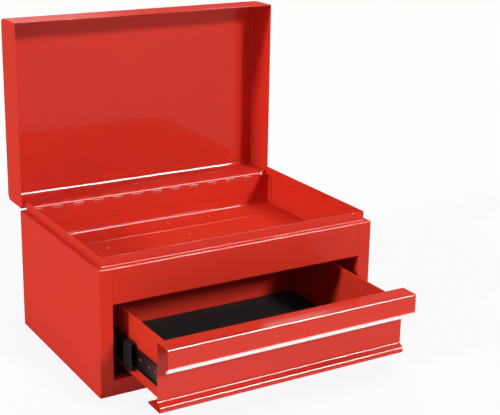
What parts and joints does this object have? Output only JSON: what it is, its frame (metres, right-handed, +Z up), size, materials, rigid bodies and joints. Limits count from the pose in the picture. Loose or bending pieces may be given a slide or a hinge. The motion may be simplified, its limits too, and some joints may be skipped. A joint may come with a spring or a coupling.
{
  "type": "portable tool box with drawer",
  "caption": "Portable steel tool box with a hinged lid over an open upper tray and a lined drawer on ball-bearing slides.",
  "frame": {"origin": "middle of the flat underside that the case stands on, at half the case's width and depth", "axes": "+X to the right seen from the front, +Y to the back, +Z up"},
  "size_m": [0.51, 0.5695, 0.5401],
  "materials": {
    "red_paint": "gloss powder coat on steel sheet",
    "painted_hinge": "gloss paint over a rolled steel hinge",
    "hinge_steel": "plain drawn wire",
    "bright_trim": "bright anodised",
    "foam_liner": "matte closed-cell foam",
    "black_slide": "black electrophoretic coat",
    "black_plastic": "matte moulded",
    "cage_steel": "zinc plated strip",
    "ball_steel": "polished bearing steel",
    "rivet_steel": "plated"
  },
  "bodies": {
    "case": {"back_panel": "red_paint", "bottom_panel": "red_paint", "front_top_rail": "red_paint", "front_bottom_rail": "red_paint", "tray_floor": "red_paint", "floor_stiffener": "red_paint", "hinge_case_leaf": "painted_hinge", "hinge_pin": "hinge_steel", "left_side_panel": "red_paint", "right_side_panel": "red_paint", "left_slide_bracket": "red_paint", "right_slide_bracket": "red_paint", "left_slide_case_member": "black_slide", "right_slide_case_member": "black_slide", "left_slide_case_rivets": "rivet_steel", "right_slide_case_rivets": "rivet_steel"},
    "lid": {"lid_cover": "red_paint", "hinge_lid_leaf": "painted_hinge", "left_lid_end": "red_paint", "right_lid_end": "red_paint"},
    "drawer": {"drawer_front": "red_paint", "pull_trim": "bright_trim", "drawer_floor": "red_paint", "drawer_back": "red_paint", "drawer_liner": "foam_liner", "left_drawer_side": "red_paint", "right_drawer_side": "red_paint", "left_slide_drawer_member": "black_slide", "right_slide_drawer_member": "black_slide", "left_slide_drawer_rivets": "rivet_steel", "right_slide_drawer_rivets": "rivet_steel"},
    "left_slide_middle": {"left_slide_middle_member": "black_slide", "left_slide_front_bumper": "black_plastic"},
    "left_slide_inner_cage": {"left_slide_inner_ball_cage": "cage_steel", "left_slide_inner_balls": "ball_steel"},
    "left_slide_outer_cage": {"left_slide_outer_ball_cage": "cage_steel", "left_slide_outer_balls": "ball_steel"},
    "right_slide_middle": {"right_slide_middle_member": "black_slide", "right_slide_front_bumper": "black_plastic"},
    "right_slide_inner_cage": {"right_slide_inner_ball_cage": "cage_steel", "right_slide_inner_balls": "ball_steel"},
    "right_slide_outer_cage": {"right_slide_outer_ball_cage": "cage_steel", "right_slide_outer_balls": "ball_steel"}
  },
  "joints": [
    {"name": "lid_hinge", "type": "hinge", "parent": "case", "child": "lid", "pos_m": [0, 0.16655, 0.2145], "axis": [1, 0, 0], "range_deg": [0, 90]},
    {"name": "drawer_slide", "type": "slide", "parent": "case", "child": "drawer", "axis": [0, -1, 0], "range_m": [-0.166, 0.088]},
    {"name": "left_slide_middle_travel", "type": "slide", "parent": "case", "child": "left_slide_middle", "axis": [0, -1, 0], "range_m": [-0.0831, 0.0441]},
    {"name": "left_slide_inner_cage_travel", "type": "slide", "parent": "case", "child": "left_slide_inner_cage", "axis": [0, -1, 0], "range_m": [-0.1246, 0.0661]},
    {"name": "left_slide_outer_cage_travel", "type": "slide", "parent": "case", "child": "left_slide_outer_cage", "axis": [0, -1, 0], "range_m": [-0.0416, 0.0221]},
    {"name": "right_slide_middle_travel", "type": "slide", "parent": "case", "child": "right_slide_middle", "axis": [0, -1, 0], "range_m": [-0.0831, 0.0441]},
    {"name": "right_slide_inner_cage_travel", "type": "slide", "parent": "case", "child": "right_slide_inner_cage", "axis": [0, -1, 0], "range_m": [-0.1246, 0.0661]},
    {"name": "right_slide_outer_cage_travel", "type": "slide", "parent": "case", "child": "right_slide_outer_cage", "axis": [0, -1, 0], "range_m": [-0.0416, 0.0221]}
  ],
  "couplings": [
    {"joint": "left_slide_middle_travel", "follows": "drawer_slide", "ratio": 0.5},
    {"joint": "left_slide_inner_cage_travel", "follows": "drawer_slide", "ratio": 0.75},
    {"joint": "left_slide_outer_cage_travel", "follows": "drawer_slide", "ratio": 0.25},
    {"joint": "right_slide_middle_travel", "follows": "drawer_slide", "ratio": 0.5},
    {"joint": "right_slide_inner_cage_travel", "follows": "drawer_slide", "ratio": 0.75},
    {"joint": "right_slide_outer_cage_travel", "follows": "drawer_slide", "ratio": 0.25}
  ]
}
